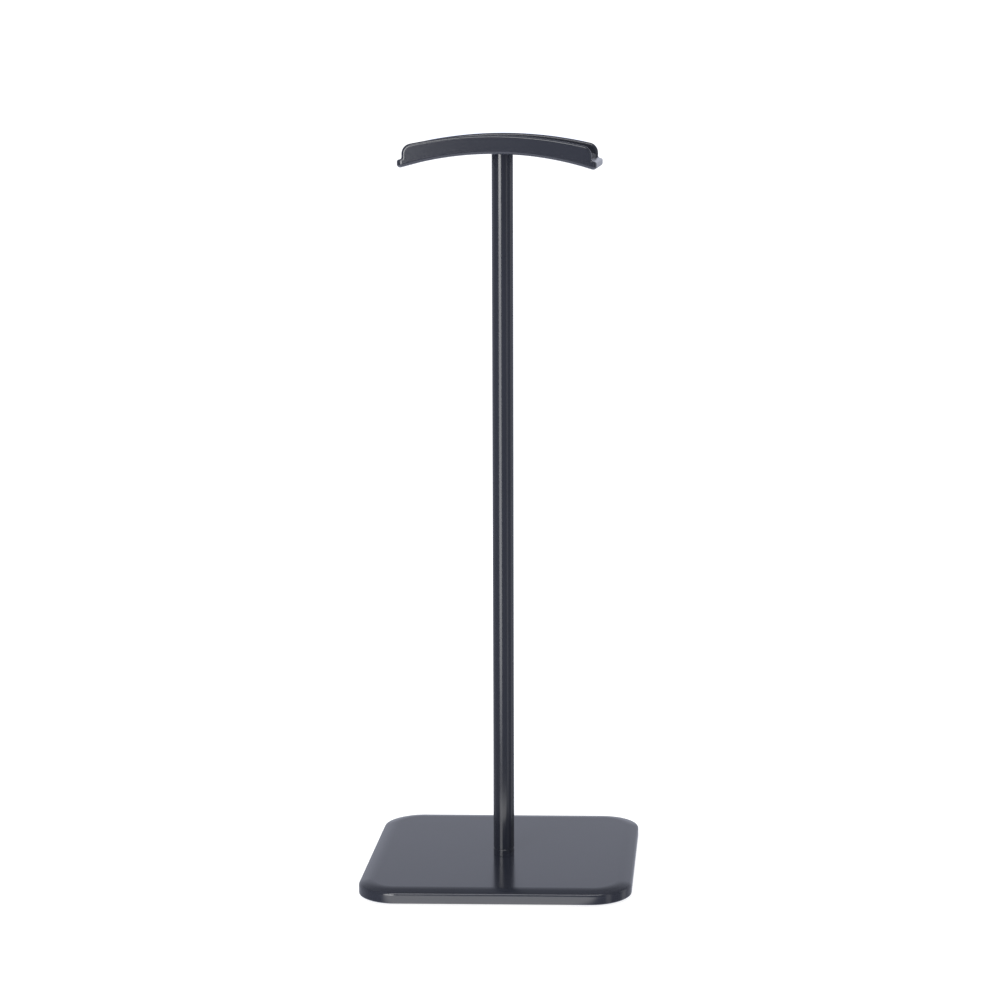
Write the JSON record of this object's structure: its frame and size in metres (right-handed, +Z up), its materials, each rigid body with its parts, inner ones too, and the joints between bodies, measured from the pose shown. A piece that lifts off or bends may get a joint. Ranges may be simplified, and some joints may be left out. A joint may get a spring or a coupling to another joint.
{
  "type": "headphone stand",
  "caption": "Free-standing headphone stand: rounded-square weighted base, slim tubular post and an arched channel saddle with soft pads.",
  "frame": {"origin": "on the table surface, under the middle of the base, on the post's axis", "axes": "+Z up along the post, +X along the saddle's arch, from one end tongue to the other, -Y towards the front rim"},
  "size_m": [0.102, 0.102, 0.2822],
  "materials": {
    "coated_steel": "satin powder coat, dark grey with a slight blue cast",
    "coated_aluminium": "satin powder coat, dark grey with a slight blue cast",
    "silicone": "matt",
    "film": "thin dark double-sided adhesive film",
    "zinc_steel": "zinc plated",
    "plug_metal": "satin powder coat on the collar"
  },
  "bodies": {
    "root": {"base_plate": "coated_steel", "foot_pad": "silicone", "foot_pad_film": "film", "base_screw": "zinc_steel", "lower_plug": "plug_metal", "post_tube": "coated_steel", "upper_plug": "plug_metal", "saddle": "coated_aluminium", "saddle_screw": "zinc_steel", "saddle_pad": "silicone", "saddle_pad_film": "film"}
  },
  "joints": []
}
